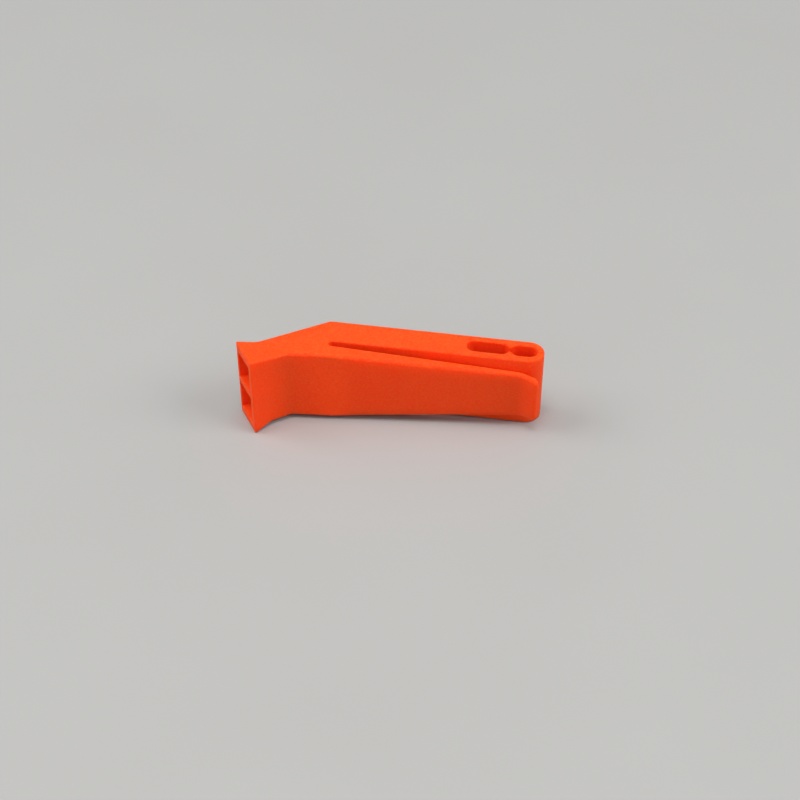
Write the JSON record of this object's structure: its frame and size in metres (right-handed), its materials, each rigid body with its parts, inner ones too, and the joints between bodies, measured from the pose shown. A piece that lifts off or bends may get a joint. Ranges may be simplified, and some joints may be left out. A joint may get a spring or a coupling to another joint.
{
  "type": "safety whistle",
  "caption": "Pealess plastic whistle with a flared mouthpiece, stacked sound chambers behind a welded cover, a keyhole lanyard slot and a sprung belt clip.",
  "frame": {"origin": "under the middle of the whistle as it lies on its narrow side, at the lowest point of the mouth's rim", "axes": "+X along the bar from the bend to the tail, +Y out of the face with the sound windows, +Z across the two chambers"},
  "size_m": [0.0706, 0.0202, 0.0213],
  "materials": {
    "orange_plastic": "moulded, fine matte grain"
  },
  "bodies": {
    "whistle": {"body_shell": "orange_plastic", "front_cover": "orange_plastic", "windway_block_upper": "orange_plastic", "windway_block_lower": "orange_plastic"},
    "clip": {"clip_arm": "orange_plastic"}
  },
  "joints": [
    {"name": "clip_flex", "type": "hinge", "parent": "whistle", "child": "clip", "pos_m": [-0.01343, -0.0008, 0.01064], "axis": [0, 0, -1], "range_deg": [0, 6], "stiffness_Nm_per_rad": 3}
  ]
}
